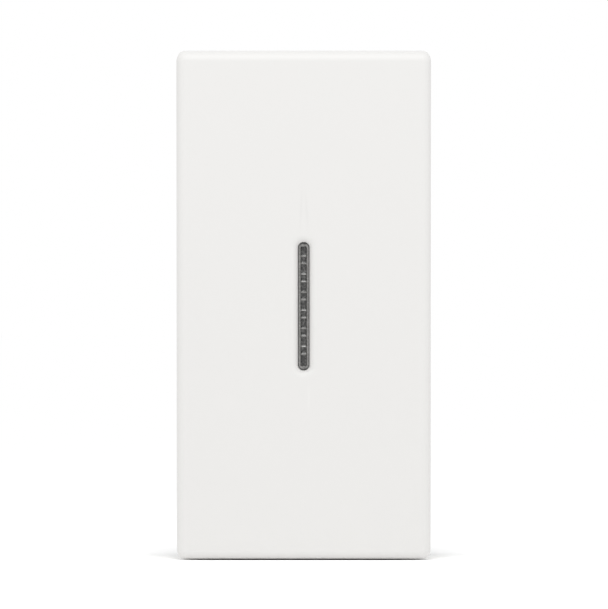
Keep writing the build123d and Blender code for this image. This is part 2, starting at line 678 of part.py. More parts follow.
# Moving contact tips: domed rivets through the blade's ends
with BuildPart() as moving_contact_tips:
    for height in (-CONTACT_REACH, CONTACT_REACH):
        rivet_plane = lengthwise_plane(blade_plane, 0, height)
        blade_face = BLADE_THICKNESS / 2
        with BuildSketch(rivet_plane):
            with BuildLine():
                Polyline(
                    (0, -moving_tip_depth),
                    (0, blade_face + RIVET_HEAD_HEIGHT),
                    (RIVET_HEAD_RADIUS, blade_face + RIVET_HEAD_HEIGHT),
                    (RIVET_HEAD_RADIUS, blade_face),
                    (RIVET_SHANK_RADIUS, blade_face),
                    (RIVET_SHANK_RADIUS, -blade_face),
                    (MOVING_TIP_RADIUS, -blade_face),
                    (MOVING_TIP_RADIUS, -blade_face - MOVING_TIP_RIM),
                )
                TangentArc(
                    (0, -moving_tip_depth),
                    (MOVING_TIP_RADIUS, -blade_face - MOVING_TIP_RIM),
                    tangent=(1, 0),
                )
            make_face()
        revolve(axis=Axis(rivet_plane.origin, rivet_plane.y_dir))
moving_contact_tips.part.label = "moving_contact_tips"
export_step(moving_contact_tips.part, "parts/moving_contact_tips.step")

# Fixed contact tips: flat rivets through the outer busbars
with BuildPart() as fixed_contact_tips:
    with BuildSketch(wall_plane(-busbar_front)):
        with Locations((mechanism_x, fixed_tip_height), (mechanism_x, -fixed_tip_height)):
            Circle(FIXED_TIP_RADIUS)
    extrude(amount=FIXED_TIP_HEIGHT)
    tip_faces = fixed_contact_tips.faces().filter_by(Plane.XZ).sort_by(Axis.Y)[:2]
    chamfer(tip_faces.edges(), length=FIXED_TIP_CHAMFER)
    with BuildSketch(wall_plane(-busbar_front)):
        with Locations((mechanism_x, fixed_tip_height), (mechanism_x, -fixed_tip_height)):
            Circle(RIVET_SHANK_RADIUS)
    extrude(amount=-BUSBAR_THICKNESS)
fixed_contact_tips.part.label = "fixed_contact_tips"
export_step(fixed_contact_tips.part, "parts/fixed_contact_tips.step")

# Outer busbars: an angled strip, its plate under the fixed tip and its leg in the cell
for cell in (upper_cell, lower_cell):
    with BuildPart() as outer_busbar:
        with BuildSketch(Plane.YZ):
            with BuildLine():
                FilletPolyline(
                    (busbar_middle, cell.side * busbar_inner_edge),
                    (busbar_middle, cell.height(leg_offset)),
                    (cell_rear - BUSBAR_LEG_SETBACK, cell.height(leg_offset)),
                    radius=BUSBAR_BEND_RADIUS,
                )
            trace(line_width=BUSBAR_THICKNESS)
        extrude(amount=busbar_leg_width / 2, both=True)
        plate_end = cell.height(leg_offset) - cell.side * (BUSBAR_BEND_RADIUS + BUSBAR_THICKNESS)
        plate_start = cell.side * busbar_inner_edge
        with BuildSketch(wall_plane(-busbar_rear)):
            with Locations((0, (plate_start + plate_end) / 2)):
                Rectangle(busbar_width, abs(plate_end - plate_start))
        extrude(amount=BUSBAR_THICKNESS)
        with BuildSketch(wall_plane(-busbar_rear)):
            with Locations((mechanism_x, cell.side * fixed_tip_height)):
                Circle(RIVET_SHANK_RADIUS + RIVET_CLEARANCE)
        extrude(amount=BUSBAR_THICKNESS, mode=Mode.SUBTRACT)
    outer_busbar.part.label = f"{cell.name}_busbar"
    export_step(outer_busbar.part, f"parts/{cell.name}_busbar.step")

# Common busbar: the same angled strip, with two notched ears that carry the see-saw
with BuildPart() as common_busbar:
    common_start = common_cell.height(-COMMON_REST)
    common_end = common_cell.height(leg_offset) - BUSBAR_BEND_RADIUS - BUSBAR_THICKNESS
    with BuildSketch(Plane.YZ):
        with BuildLine():
            FilletPolyline(
                (busbar_middle, common_start),
                (busbar_middle, common_cell.height(leg_offset)),
                (cell_rear - BUSBAR_LEG_SETBACK, common_cell.height(leg_offset)),
                radius=BUSBAR_BEND_RADIUS,
            )
        trace(line_width=BUSBAR_THICKNESS)
    extrude(amount=busbar_leg_width / 2, both=True)
    with BuildSketch(wall_plane(-busbar_rear)):
        with Locations((0, (common_start + common_end) / 2)):
            Rectangle(busbar_width, common_end - common_start)
    extrude(amount=BUSBAR_THICKNESS)
    ear_tip = contact_pivot_depth - EAR_TIP
    notch_radius = LUG_RADIUS + LUG_CLEARANCE
    for side in (-1, 1):
        ear_x = mechanism_x + side * ear_inner
        with BuildSketch(Plane.YZ.offset(ear_x)):
            with Locations(((ear_tip + busbar_middle) / 2, 0)):
                Rectangle(busbar_middle - ear_tip, EAR_HEIGHT)
            with Locations((contact_pivot_depth, 0)):
                Circle(notch_radius, mode=Mode.SUBTRACT)
            with Locations((contact_pivot_depth - EAR_TIP / 2, 0)):
                Rectangle(EAR_TIP, 2 * notch_radius, mode=Mode.SUBTRACT)
        extrude(amount=side * EAR_THICKNESS)
common_busbar.part.label = "common_busbar"
export_step(common_busbar.part, "parts/common_busbar.step")

# Terminal springs: a bent strip in each cell, its two tongues slanting to the busbar leg
for cell in cells:
    with BuildPart() as terminal_spring:
        with BuildSketch(Plane.YZ):
            with BuildLine():
                FilletPolyline(
                    (busbar_rear + CLIP_FRONT_GAP, cell.height(clip_offset)),
                    (clip_bend_depth, cell.height(clip_offset)),
                    (clip_bend_depth, cell.height(clip_bend_offset)),
                    (clip_tip_depth, cell.height(clip_tip_offset)),
                    radius=CLIP_BEND_RADIUS,
                )
            trace(line_width=CLIP_THICKNESS)
        extrude(amount=chamber_width / 2 - CLIP_SIDE_GAP, both=True)
        slit_start = clip_bend_offset + CLIP_BEND
        with BuildSketch(Plane.YZ):
            with Locations((cell_rear - CELL_DEPTH / 2, cell.height((slit_start + CELL_HEIGHT) / 2))):
                Rectangle(CELL_DEPTH, CELL_HEIGHT - slit_start)
        extrude(amount=CLIP_SLIT / 2, both=True, mode=Mode.SUBTRACT)
    terminal_spring.part.label = f"terminal_spring_{cell.name}"
    export_step(terminal_spring.part, f"parts/terminal_spring_{cell.name}.step")

# Release buttons: a slanted nose on the spring's tongues, a shoulder inside the rear wall
tongue_run = clip_bend_depth - clip_tip_depth
tongue_rise = clip_tip_offset - clip_bend_offset
nose_setback = (
    (CLIP_THICKNESS / 2 + BUTTON_NOSE_GAP) * hypot(tongue_run, tongue_rise) / tongue_rise
)


def nose_depth(offset):
    """Depth of the button's slanted nose, just behind the spring's tongue at this offset."""
    return clip_bend_depth - (offset - clip_bend_offset) * tongue_run / tongue_rise + nose_setback


for cell in cells:
    with BuildPart() as release_button:
        button_top = BUTTON_FLOOR + BUTTON_HEIGHT
        button_rear = base_rear + BUTTON_PROUD
        with BuildSketch(Plane.YZ):
            with BuildLine():
                Polyline(
                    (button_rear, cell.height(BUTTON_FLOOR)),
                    (button_rear, cell.height(button_top)),
                    (nose_depth(button_top), cell.height(button_top)),
                    (nose_depth(BUTTON_FLOOR), cell.height(BUTTON_FLOOR)),
                    close=True,
                )
            make_face()
        extrude(amount=BUTTON_WIDTH / 2, both=True)
        fillet(release_button.faces().sort_by(Axis.Y)[-1].edges(), radius=BUTTON_EDGE_RADIUS)
        shoulder_rear = cell_rear - BUTTON_SHOULDER_GAP
        with BuildSketch(wall_plane(-shoulder_rear)):
            with Locations((0, cell.height(button_top - BUTTON_SHOULDER_HEIGHT / 2))):
                Rectangle(BUTTON_SHOULDER_WIDTH, BUTTON_SHOULDER_HEIGHT)
        extrude(amount=BUTTON_SHOULDER_THICKNESS)
        with BuildSketch(wall_plane(-button_rear)):
            with Locations((0, cell.height(BUTTON_FLOOR + BUTTON_HEIGHT / 2))):
                Rectangle(BUTTON_NOTCH_LENGTH, BUTTON_NOTCH_WIDTH)
        extrude(amount=BUTTON_NOTCH_DEPTH, mode=Mode.SUBTRACT)
    release_button.part.label = f"release_button_{cell.name}"
    export_step(release_button.part, f"parts/release_button_{cell.name}.step")

# Lamp board, with a hole for each pin
with BuildPart() as lamp_board:
    with BuildSketch(wall_plane(board_rear)):
        with Locations((board_middle, 0)):
            Rectangle(board_width, board_height)
        with Locations((lamp_pin_x, 0)):
            with GridLocations(0, 2 * lamp_pin_height, 1, 2):
                Rectangle(
                    LAMP_PIN_WIDTH + 2 * LAMP_PIN_CLEARANCE,
                    LAMP_PIN_THICKNESS + 2 * LAMP_PIN_CLEARANCE,
                    mode=Mode.SUBTRACT,
                )
    extrude(amount=BOARD_THICKNESS)
lamp_board.part.label = "lamp_board"
export_step(lamp_board.part, "parts/lamp_board.step")

# Indicator lamp: a small body with a round lens, behind the middle of the light pipe
with BuildPart() as indicator_led:
    with BuildSketch(wall_plane(board_front)):
        Rectangle(LED_WIDTH, LED_HEIGHT)
    extrude(amount=LED_BODY)
    with BuildSketch(wall_plane(board_front + LED_BODY)):
        Circle(LED_LENS_RADIUS)
    extrude(amount=LED_LENS_HEIGHT)
    fillet(indicator_led.faces().sort_by(Axis.Y)[0].edges(), radius=LED_LENS_HEIGHT / 2)
indicator_led.part.label = "indicator_led"
export_step(indicator_led.part, "parts/indicator_led.step")

# Resistor and diode: round bodies with end caps, lying on the board
component_x = board_left + COMPONENT_SETBACK
component_height = COMPONENT_SPACING / 2
with BuildPart() as lamp_resistor:
    resistor_forward = board_front + SOLDER_GAP + RESISTOR_RADIUS
    with BuildSketch(Plane.XY.offset(component_height - RESISTOR_LENGTH / 2)):
        with Locations((component_x, -resistor_forward)):
            Circle(RESISTOR_RADIUS - END_CAP_STEP)
    extrude(amount=RESISTOR_LENGTH)
    for cap_height in (-RESISTOR_LENGTH / 2, RESISTOR_LENGTH / 2 - END_CAP_LENGTH):
        with BuildSketch(Plane.XY.offset(component_height + cap_height)):
            with Locations((component_x, -resistor_forward)):
                Circle(RESISTOR_RADIUS)
        extrude(amount=END_CAP_LENGTH)
lamp_resistor.part.label = "lamp_resistor"
export_step(lamp_resistor.part, "parts/lamp_resistor.step")

with BuildPart() as lamp_diode:
    diode_forward = board_front + SOLDER_GAP + DIODE_RADIUS
    with BuildSketch(Plane.XY.offset(-component_height - DIODE_LENGTH / 2)):
        with Locations((component_x, -diode_forward)):
            Circle(DIODE_RADIUS - END_CAP_STEP)
    extrude(amount=DIODE_LENGTH)
    for cap_height in (-DIODE_LENGTH / 2, DIODE_LENGTH / 2 - END_CAP_LENGTH):
        with BuildSketch(Plane.XY.offset(-component_height + cap_height)):
            with Locations((component_x, -diode_forward)):
                Circle(DIODE_RADIUS)
        extrude(amount=END_CAP_LENGTH)
lamp_diode.part.label = "lamp_diode"
export_step(lamp_diode.part, "parts/lamp_diode.step")

# Lamp pins: from the board back through the plate, with a foot on each outer busbar
pin_foot_depth = busbar_front - LAMP_PIN_FOOT_GAP - LAMP_PIN_THICKNESS / 2
for cell in (upper_cell, lower_cell):
    with BuildPart() as lamp_pin:
        with BuildSketch(Plane.YZ.offset(lamp_pin_x)):
            with BuildLine():
                FilletPolyline(
                    (-(board_front + LAMP_PIN_PROUD), cell.side * lamp_pin_height),
                    (pin_foot_depth, cell.side * lamp_pin_height),
                    (pin_foot_depth, cell.side * (lamp_pin_height + LAMP_PIN_FOOT)),
                    radius=LAMP_PIN_BEND_RADIUS,
                )
            trace(line_width=LAMP_PIN_THICKNESS)
        extrude(amount=LAMP_PIN_WIDTH / 2, both=True)
    lamp_pin.part.label = f"lamp_pin_{cell.name}"
    export_step(lamp_pin.part, f"parts/lamp_pin_{cell.name}.step")
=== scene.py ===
import json
from math import pi, radians

import bpy
import numpy as np
from bpy.props import FloatProperty, FloatVectorProperty, IntProperty, PointerProperty
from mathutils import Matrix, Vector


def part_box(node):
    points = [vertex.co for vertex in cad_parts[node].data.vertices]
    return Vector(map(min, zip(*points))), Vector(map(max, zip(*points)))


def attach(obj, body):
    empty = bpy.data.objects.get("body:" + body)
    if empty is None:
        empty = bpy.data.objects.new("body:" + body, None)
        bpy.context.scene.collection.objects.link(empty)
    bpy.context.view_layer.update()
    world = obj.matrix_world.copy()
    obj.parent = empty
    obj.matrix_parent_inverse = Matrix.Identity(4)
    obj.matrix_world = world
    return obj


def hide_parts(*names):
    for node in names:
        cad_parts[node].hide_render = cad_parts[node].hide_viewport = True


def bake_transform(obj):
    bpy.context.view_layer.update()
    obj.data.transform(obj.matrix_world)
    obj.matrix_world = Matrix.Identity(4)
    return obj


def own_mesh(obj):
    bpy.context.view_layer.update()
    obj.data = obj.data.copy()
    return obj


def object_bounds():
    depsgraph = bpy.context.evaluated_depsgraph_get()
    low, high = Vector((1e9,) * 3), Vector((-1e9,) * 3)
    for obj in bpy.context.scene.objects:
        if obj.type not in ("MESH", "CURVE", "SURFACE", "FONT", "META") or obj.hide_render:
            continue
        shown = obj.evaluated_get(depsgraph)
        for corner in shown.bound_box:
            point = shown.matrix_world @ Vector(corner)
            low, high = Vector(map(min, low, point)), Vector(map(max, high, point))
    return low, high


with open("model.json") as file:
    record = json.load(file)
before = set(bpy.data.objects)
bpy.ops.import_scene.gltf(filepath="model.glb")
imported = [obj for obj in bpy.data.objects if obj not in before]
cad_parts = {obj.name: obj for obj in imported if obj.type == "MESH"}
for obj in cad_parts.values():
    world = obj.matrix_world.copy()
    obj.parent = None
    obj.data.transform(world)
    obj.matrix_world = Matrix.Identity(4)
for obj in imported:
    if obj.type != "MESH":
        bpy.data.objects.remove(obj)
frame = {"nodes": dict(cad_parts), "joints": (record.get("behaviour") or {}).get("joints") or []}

# Finishes a one-module rocker light switch and sets up a white studio around it.
# Metres, X to the right seen from the front, Z up, the front faces -Y.

bl_info = {
    "name": "Rocker light switch",
    "version": (1, 0, 0),
    "blender": (4, 5, 0),
    "location": "View3D > Sidebar > Light switch",
    "description": "Finishes a one-module rocker light switch and sets up its studio",
    "category": "Object",
}

cad_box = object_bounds()
nodes = frame["nodes"]
joints = {joint["name"]: joint for joint in frame["joints"]}

MM = 0.001
TOLERANCE = 0.01 * MM
IMAGE_WIDTH = 608
IMAGE_HEIGHT = 609

# Sockets of a node that mixes two colours
SHARE, FIRST, SECOND, RESULT = 0, 6, 7, 2

# The rocker's own directions: its pivot, across it, up along its face and out of its face
PIVOT = np.array(joints["rocker_tilt"]["pos_m"])
ACROSS = np.array(joints["rocker_tilt"]["axis"], float)
OUTWARD = np.array(joints["plunger_slide"]["axis"], float)
UPWARD = np.cross(OUTWARD, ACROSS)
ROCKER_AXES = np.stack([ACROSS, UPWARD, OUTWARD])


def linear(hex_colour):
    """Linear RGB of an sRGB hex value: a straight line near black and a 2.4 power above it."""
    srgb = np.array([int(hex_colour[i:i + 2], 16) for i in (1, 3, 5)]) / 255
    return tuple(np.where(srgb <= 0.04045, srgb / 12.92, ((srgb + 0.055) / 1.055) ** 2.4))


def length(name, description, millimetres):
    """A length property, its default given in millimetres."""
    return FloatProperty(
        name=name, description=description, default=millimetres * MM, min=0,
        unit="LENGTH", subtype="DISTANCE", precision=5,
    )


def colour(name, description, hex_colour):
    """A colour property, its default given as an sRGB hex value."""
    return FloatVectorProperty(
        name=name, description=description, default=linear(hex_colour), size=3, min=0, max=1,
        subtype="COLOR",
    )


class LensSettings(bpy.types.PropertyGroup):
    """Sizes and colours of the light pipe in the rocker's face."""

    rim_width: length("Rim width", "Width of the rim around the trough", 0.27)
    end_setback: length("End setback", "From the window's edge to its rim at the two ends", 0.17)
    rim_height: length("Rim height", "Height of the rim above the window's edge", 0.03)
    trough_depth: length("Trough depth", "Depth of the trough inside the rim", 0.2)
    rib_pitch: length("Rib pitch", "From one rib to the next", 1.6)
    rib_width: length("Rib width", "Between the two webs of a rib", 0.66)
    web_width: length("Web width", "Width of the web along a rib's edge", 0.28)
    web_drop: length("Web drop", "How far the webs lie below the rim", 0.08)
    rib_rise: length("Rib rise", "How much higher the ribs look, as they lie behind the tilted window", 0.1)
    rib_count: IntProperty(name="Ribs", description="Number of ribs", default=6, min=1)
    # The pale rim and webs are painted light, as if light passed through them
    rim_glow: FloatProperty(
        name="Rim tint", description="How pale the rim is", default=0.55, min=0, max=1, subtype="FACTOR"
    )
    web_glow: FloatProperty(
        name="Web tint", description="How pale the webs are", default=0.85, min=0, max=1, subtype="FACTOR"
    )
    smoke: colour("Smoke", "Body colour of the smoked plastic", "#1E1E1E")
    # The edge colour is painted light: the paleness of thin edges that light passes through
    edge: colour("Edge", "Colour of its thin edges, which let light through", "#989795")


class SpringSettings(bpy.types.PropertyGroup):
    """Sizes of the plunger's coil spring and of the terminals' bent clips."""

    wire_radius: length("Wire radius", "Radius of the coil spring's wire", 0.17)
    coils: FloatProperty(name="Coils", description="Open coils of the spring", default=5, min=1)
    closed_turns: FloatProperty(
        name="Closed turns", description="Turns at each end that lie flat", default=0.75, min=0
    )
    strip: length("Strip", "Thickness of the clips' strip", 0.35)
    strip_bend: length("Strip bend", "Bend radius of the clips' strip", 0.5)
    fold: length("Fold", "Width of a clip's rear fold", 1.3)
    tongue: length("Tongue", "Depth of a clip's tongues from its rear fold", 5.525)
    tongue_rise: length("Tongue rise", "Height of a clip's tongues from its rear fold", 5.575)
    slit: length("Slit", "Gap between a clip's two tongues", 0.8)


class FinishSettings(bpy.types.PropertyGroup):
    """Body colours of the mouldings."""

    rocker: colour("Rocker", "White of the rocker", "#F0EFED")
    module_frame: colour("Frame", "White of the module frame", "#EDECE8")
    base: colour("Base", "Grey of the base housing", "#C4C6C5")
    button: colour("Buttons", "Grey of the release buttons", "#7C7F82")
    plunger: colour("Plunger", "Natural white of the plunger", "#ECE9E0")


class StudioSettings(bpy.types.PropertyGroup):
    """The plain floor, the soft light and the camera."""

    floor: colour("Floor", "Colour of the floor", "#FFFFFF")
    floor_size: length("Floor size", "Length of the floor's sides", 12000)
    floor_gap: length("Floor gap", "Gap under the object's lowest edge", 0.12)
    floor_seen: FloatProperty(
        name="Floor seen", description="Reflectance of the floor where the camera sees it",
        default=1.337, min=0,
    )
    ambient: FloatProperty(name="Ambient", description="Light from all around", default=0.748, min=0)
    key_power: FloatProperty(
        name="Key power", description="Power of the softbox", default=0.093, min=0, unit="POWER"
    )
    key_width: length("Key width", "Width of the softbox from left to right", 20)
    key_height: length("Key height", "Height of the softbox", 120)
    key_place: FloatVectorProperty(
        name="Key place", description="Middle of the softbox", default=(0, -0.115, 0.155),
        subtype="TRANSLATION", unit="LENGTH",
    )
    camera_distance: length("Camera distance", "From the camera to the rocker's face", 900)
    pixels_per_mm: FloatProperty(
        name="Pixels per mm", description="Scale of the picture at the rocker's edge",
        default=11.375, min=0.1,
    )
    picture_x: FloatProperty(
        name="Picture x", description="Column of the object's middle in the picture", default=303.7,
        subtype="PIXEL",
    )
    picture_y: FloatProperty(
        name="Picture y", description="Row of the object's middle in the picture", default=304.5,
        subtype="PIXEL",
    )


def ease(start, end, values):
    """Rises smoothly from 0 at start to 1 at end: three times the square less twice the cube."""
    share = np.clip((values - start) / (end - start), 0, 1)
    return share * share * (3 - 2 * share)


def hump(distance, width):
    """A rounded ridge: 1 in its middle, falling as a raised cosine to 0 half its width away."""
    share = np.clip(np.abs(distance) / (width / 2), 0, 1)
    return (1 + np.cos(pi * share)) / 2


def node_points(name):
    """A node's corner points as an array."""
    mesh = nodes[name].data
    points = np.empty(3 * len(mesh.vertices))
    mesh.vertices.foreach_get("co", points)
    return points.reshape(-1, 3)


def rocker_places(points):
    """Points turned into places on the tilted rocker: across, up along its face and out of it."""
    return (points - PIVOT) @ ROCKER_AXES.T


def rocker_points(across, up, out):
    """Places on the tilted rocker turned back into points."""
    return PIVOT + np.stack(np.broadcast_arrays(across, up, out), axis=-1) @ ROCKER_AXES


def lens_window():
    """The lens's window on the tilted rocker: its level, its radius and half its length."""
    places = rocker_places(node_points("indicator_lens"))
    level = places[:, 2].max()
    window = places[places[:, 2] > level - TOLERANCE]
    return level, window[:, 0].max(), window[:, 1].max()


def rounded(corners, radius):
    """A path through corners with its bends rounded: straight runs up to the tangent points and
    arcs of the given radius between them."""
    arc_points = 9
    runs = [corners[:1]]
    for before, corner, after in zip(corners[:-2], corners[1:-1], corners[2:]):
        back = (before - corner) / np.linalg.norm(before - corner)
        ahead = (after - corner) / np.linalg.norm(after - corner)
        half_angle = np.arccos(np.clip(back @ ahead, -1, 1)) / 2
        middle = (back + ahead) / np.linalg.norm(back + ahead)
        centre = corner + middle * radius / np.sin(half_angle)
        start = corner + back * radius / np.tan(half_angle) - centre
        end = corner + ahead * radius / np.tan(half_angle) - centre
        sweep = np.linspace(0, 1, arc_points)[:, None]
        turn = pi - 2 * half_angle
        arc = (np.sin((1 - sweep) * turn) * start + np.sin(sweep * turn) * end) / np.sin(turn)
        runs.append(centre + arc)
    runs.append(corners[-1:])
    return np.concatenate(runs)


def tube_faces(rings, points):
    """Quads between rings of points, row after row, each ring closed on itself."""
    index = np.arange(rings * points).reshape(rings, points)
    ahead = np.roll(index, -1, axis=1)
    return np.stack([index[:-1], ahead[:-1], ahead[1:], index[1:]], axis=-1).reshape(-1, 4)


def ladder_faces(points):
    """Quads that close a ring of mirrored points: each rung joins a point to its mirror image."""
    right = np.arange(points // 2)
    left = points - 1 - right
    return np.stack([right[:-1], right[1:], left[1:], left[:-1]], axis=-1)


def plate_faces(mask):
    """Quads of a plate: a front and a back for each grid cell in the mask, and a wall along its
    free edges."""
    rows, columns = mask.shape[0] + 1, mask.shape[1] + 1
    index = np.arange(rows * columns).reshape(rows, columns)
    corners = index[:-1, :-1], index[1:, :-1], index[1:, 1:], index[:-1, 1:]
    front = np.stack(corners, axis=-1)[mask]
    around = np.pad(mask, 1)
    neighbours = around[1:-1, :-2], around[2:, 1:-1], around[1:-1, 2:], around[:-2, 1:-1]
    faces = [front, front[:, ::-1] + index.size]
    for side, neighbour in enumerate(neighbours):
        free = mask & ~neighbour
        start, end = corners[side][free], corners[(side + 1) % 4][free]
        faces.append(np.stack([end, start, start + index.size, end + index.size], axis=-1))
    return np.concatenate(faces)


def add_piece(name, points, faces, crease_degrees=30):
    """A new mesh object at the origin, smooth except along edges sharper than the crease angle.
    Its faces come in blocks, one for the quads and one for the triangles if there are any."""
    mesh = bpy.data.meshes.new(name)
    corners = [face for block in faces for face in block.tolist()]
    mesh.from_pydata(points.reshape(-1, 3).tolist(), [], corners)
    mesh.shade_smooth()
    mesh.set_sharp_from_angle(angle=radians(crease_degrees))
    piece = bpy.data.objects.new(name, mesh)
    bpy.context.scene.collection.objects.link(piece)
    return piece


def add_node(tree, kind, inputs=None, **settings):
    """Adds one shader node: settings are its properties, inputs its sockets' values or what
    links to them."""
    made = tree.nodes.new(kind)
    for key, value in settings.items():
        setattr(made, key, value)
    for socket, value in (inputs or {}).items():
        if isinstance(value, bpy.types.NodeSocket):
            tree.links.new(value, made.inputs[socket])
        else:
            made.inputs[socket].default_value = value
    return made


def new_material(name):
    """An empty node material: the material and its tree."""
    material = bpy.data.materials.new(name)
    material.use_nodes = True
    material.node_tree.nodes.clear()
    return material, material.node_tree


def per_metre(millimetres):
    """Scale of a pattern on coordinates in metres whose features are this many millimetres wide."""
    return 1 / (millimetres * MM)


def opaque(rgb):
    """A colour with full alpha, as colour sockets take it."""
    return (*rgb, 1.0)


def shaded(rgb, factor):
    """A colour made lighter or darker by a factor."""
    return opaque(tuple(channel * factor for channel in rgb))


def seen_directly(tree):
    """1 for rays that show the background, which come from the camera, from gloss or through
    glass, and 0 for the rest."""
    path = add_node(tree, "ShaderNodeLightPath")
    mirrored = add_node(
        tree, "ShaderNodeMath",
        {0: path.outputs["Is Glossy Ray"], 1: path.outputs["Is Transmission Ray"]},
        operation="MAXIMUM",
    )
    seen = add_node(
        tree, "ShaderNodeMath", {0: path.outputs["Is Camera Ray"], 1: mirrored.outputs["Value"]},
        operation="MAXIMUM",
    )
    return seen.outputs["Value"]


def paint_light_streak(tree, place, tint, start, end, width, shade):
    """Lays a faint line of another shade over a colour: painted shade if darker, painted highlight if
    lighter. It is strongest in its middle and fades smoothly across its width and along its length."""
    start, end = np.array(start), np.array(end)
    run = end - start
    from_middle = add_node(
        tree, "ShaderNodeMapping",
        {"Vector": place, "Location": (start + end) / 2, "Rotation": (0, np.arctan2(run[0], run[2]), 0)},
        vector_type="TEXTURE",
    )
    away = add_node(
        tree, "ShaderNodeVectorMath", {0: from_middle.outputs["Vector"]}, operation="ABSOLUTE"
    )
    away = add_node(tree, "ShaderNodeSeparateXYZ", {"Vector": away.outputs["Vector"]})
    fades = [
        add_node(
            tree, "ShaderNodeMapRange",
            {"Value": away.outputs[axis], "From Min": 0.0, "From Max": reach, "To Min": 1.0, "To Max": 0.0},
            interpolation_type="SMOOTHSTEP",
        ).outputs["Result"]
        for axis, reach in (("X", width / 2), ("Z", np.linalg.norm(run) / 2))
    ]
    presence = add_node(tree, "ShaderNodeMath", {0: fades[0], 1: fades[1]}, operation="MULTIPLY")
    marked = add_node(
        tree, "ShaderNodeMix",
        {SHARE: presence.outputs["Value"], FIRST: tint, SECOND: shade},
        data_type="RGBA",
    )
    return marked.outputs[RESULT]


def moulded(name, rgb, roughness, ior, flow_mm, flow, grain_mm, grain, shade_and_highlight_lines=()):
    """Injection-moulded plastic. The melt leaves faint cloudy flow marks in the colour, and the
    spark-eroded mould leaves a fine matt grain, drawn coarser than real so that it shows."""
    material, tree = new_material(name)
    place = add_node(tree, "ShaderNodeTexCoord").outputs["Object"]
    clouds = add_node(
        tree, "ShaderNodeTexNoise", {"Vector": place, "Scale": per_metre(flow_mm), "Detail": 3.0}
    )
    tint = add_node(
        tree, "ShaderNodeMix",
        {SHARE: clouds.outputs["Fac"], FIRST: shaded(rgb, 1 - flow), SECOND: shaded(rgb, 1 + flow)},
        data_type="RGBA",
    ).outputs[RESULT]
    # Lines of painted shade and painted highlight, each with its start, end, width and shade factor
    for start, end, width, factor in shade_and_highlight_lines:
        tint = paint_light_streak(tree, place, tint, start, end, width, shaded(rgb, factor))
    grit = add_node(
        tree, "ShaderNodeTexNoise", {"Vector": place, "Scale": per_metre(grain_mm), "Detail": 2.0}
    )
    # The grain is a tenth as deep as it is wide
    grain_depth = grain_mm * MM / 10
    relief = add_node(
        tree, "ShaderNodeBump",
        {"Height": grit.outputs["Fac"], "Strength": grain, "Distance": grain_depth},
    )
    shader = add_node(
        tree, "ShaderNodeBsdfPrincipled",
        {
            "Base Color": tint,
            "Roughness": roughness,
            "IOR": ior,
            "Normal": relief.outputs["Normal"],
        },
    )
    add_node(tree, "ShaderNodeOutputMaterial", {"Surface": shader.outputs["BSDF"]})
    return material


def smoked_polycarbonate(settings):
    """Smoked polycarbonate, polished: dark and glossy, with painted light: paler along thin edges
    that light passes through, and in small painted glints."""
    material, tree = new_material("smoked_polycarbonate")
    place = add_node(tree, "ShaderNodeTexCoord").outputs["Object"]
    # Painted light: how pale the plastic is drawn where light would pass through its thin edges
    edge = add_node(tree, "ShaderNodeAttribute", attribute_name="painted_edge_light").outputs["Fac"]
    # Moulded-in specks drawn paler as painted glints that catch the light, a little narrower than the webs
    speck_mm = 0.2
    glint_tint = 0.42
    specks = add_node(
        tree, "ShaderNodeTexNoise", {"Vector": place, "Scale": per_metre(speck_mm), "Detail": 2.0}
    )
    painted_glints = add_node(
        tree, "ShaderNodeMapRange",
        {
            "Value": specks.outputs["Fac"],
            "From Min": 0.42,
            "From Max": 0.72,
            "To Min": 0.0,
            "To Max": glint_tint,
        },
    )
    # Painted light of the thin edges and the painted glints together
    glow = add_node(
        tree, "ShaderNodeMath", {0: edge, 1: painted_glints.outputs["Result"]}, operation="ADD", use_clamp=True
    )
    tint = add_node(
        tree, "ShaderNodeMix",
        {SHARE: glow.outputs["Value"], FIRST: opaque(settings.smoke), SECOND: opaque(settings.edge)},
        data_type="RGBA",
    )
    shader = add_node(
        tree, "ShaderNodeBsdfPrincipled",
        {"Base Color": tint.outputs[RESULT], "Roughness": 0.22, "IOR": 1.58},
    )
    add_node(tree, "ShaderNodeOutputMaterial", {"Surface": shader.outputs["BSDF"]})
    return material


def rolled_metal(name, hex_colour, dull_hex, roughness, stain_mm, line_mm):
    """Rolled or drawn metal: bright, with long fine rolling lines and cloudy dull stains."""
    material, tree = new_material(name)
    place = add_node(tree, "ShaderNodeTexCoord").outputs["Object"]
    stains = add_node(
        tree, "ShaderNodeTexNoise", {"Vector": place, "Scale": per_metre(stain_mm), "Detail": 4.0}
    )
    tint = add_node(
        tree, "ShaderNodeMix",
        {SHARE: stains.outputs["Fac"], FIRST: opaque(linear(hex_colour)), SECOND: opaque(linear(dull_hex))},
        data_type="RGBA",
    )
    # The lines are 25 times as long as they are wide
    lengthwise = 1 / 25
    stretched = add_node(
        tree, "ShaderNodeMapping", {"Vector": place, "Scale": (1.0, lengthwise, lengthwise)}
    )
    lines = add_node(
        tree, "ShaderNodeTexNoise",
        {"Vector": stretched.outputs["Vector"], "Scale": per_metre(line_mm), "Detail": 2.0},
    )
    spread = 0.3
    gloss = add_node(
        tree, "ShaderNodeMapRange",
        {
            "Value": lines.outputs["Fac"],
            "To Min": roughness * (1 - spread),
            "To Max": roughness * (1 + spread),
        },
    )
    shader = add_node(
        tree, "ShaderNodeBsdfPrincipled",
        {"Base Color": tint.outputs[RESULT], "Metallic": 1.0, "Roughness": gloss.outputs["Result"]},
    )
    add_node(tree, "ShaderNodeOutputMaterial", {"Surface": shader.outputs["BSDF"]})
    return material


